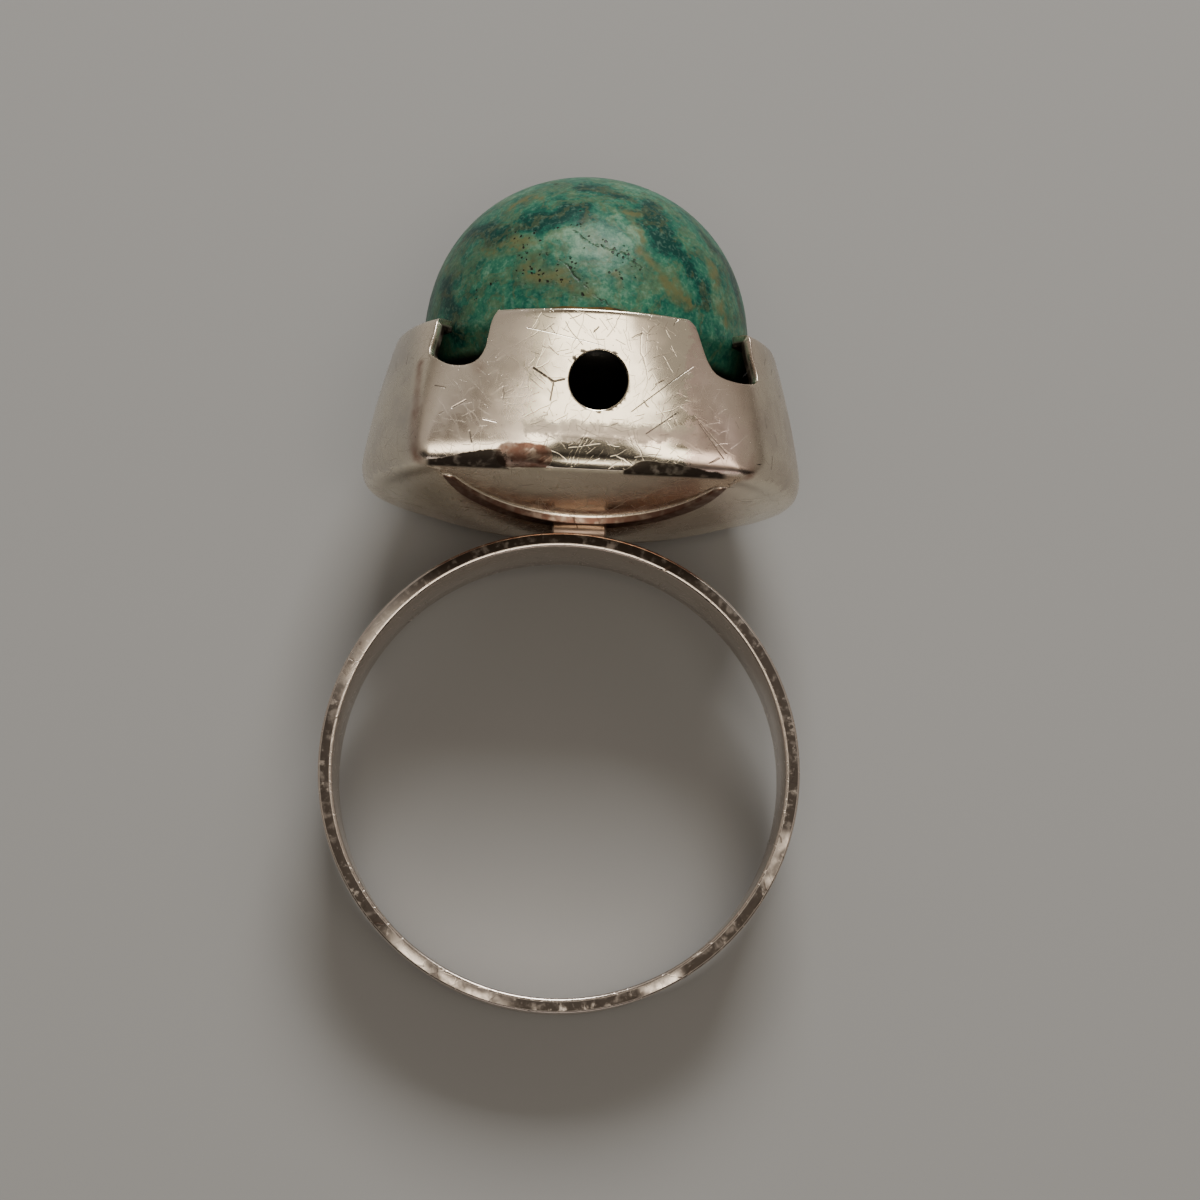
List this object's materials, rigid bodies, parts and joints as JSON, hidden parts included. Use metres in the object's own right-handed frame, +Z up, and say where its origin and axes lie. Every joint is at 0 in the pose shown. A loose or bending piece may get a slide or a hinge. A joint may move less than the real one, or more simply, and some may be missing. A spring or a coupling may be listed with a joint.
{
  "type": "gemstone ring",
  "caption": "Finger ring lying on its side: thin flat band, hollow bell-shaped setting with a round port and notches, high round green cabochon.",
  "frame": {"origin": "middle of the base of the ring's box, on the surface it lies on", "axes": "+Z up from the surface, +Y from the band towards the stone, +X across the setting; the band's bore leans 10.5 degrees from +Z towards -Y"},
  "size_m": [0.0188, 0.0333, 0.014],
  "materials": {
    "silver": "worn polished sterling silver with fine scratches",
    "green_stone": "polished green feldspar with tan veins and dark pits",
    "amber_cement": "clear amber cement"
  },
  "bodies": {
    "root": {"silver_mount": "silver", "cabochon": "green_stone", "stone_cement": "amber_cement"}
  },
  "joints": []
}
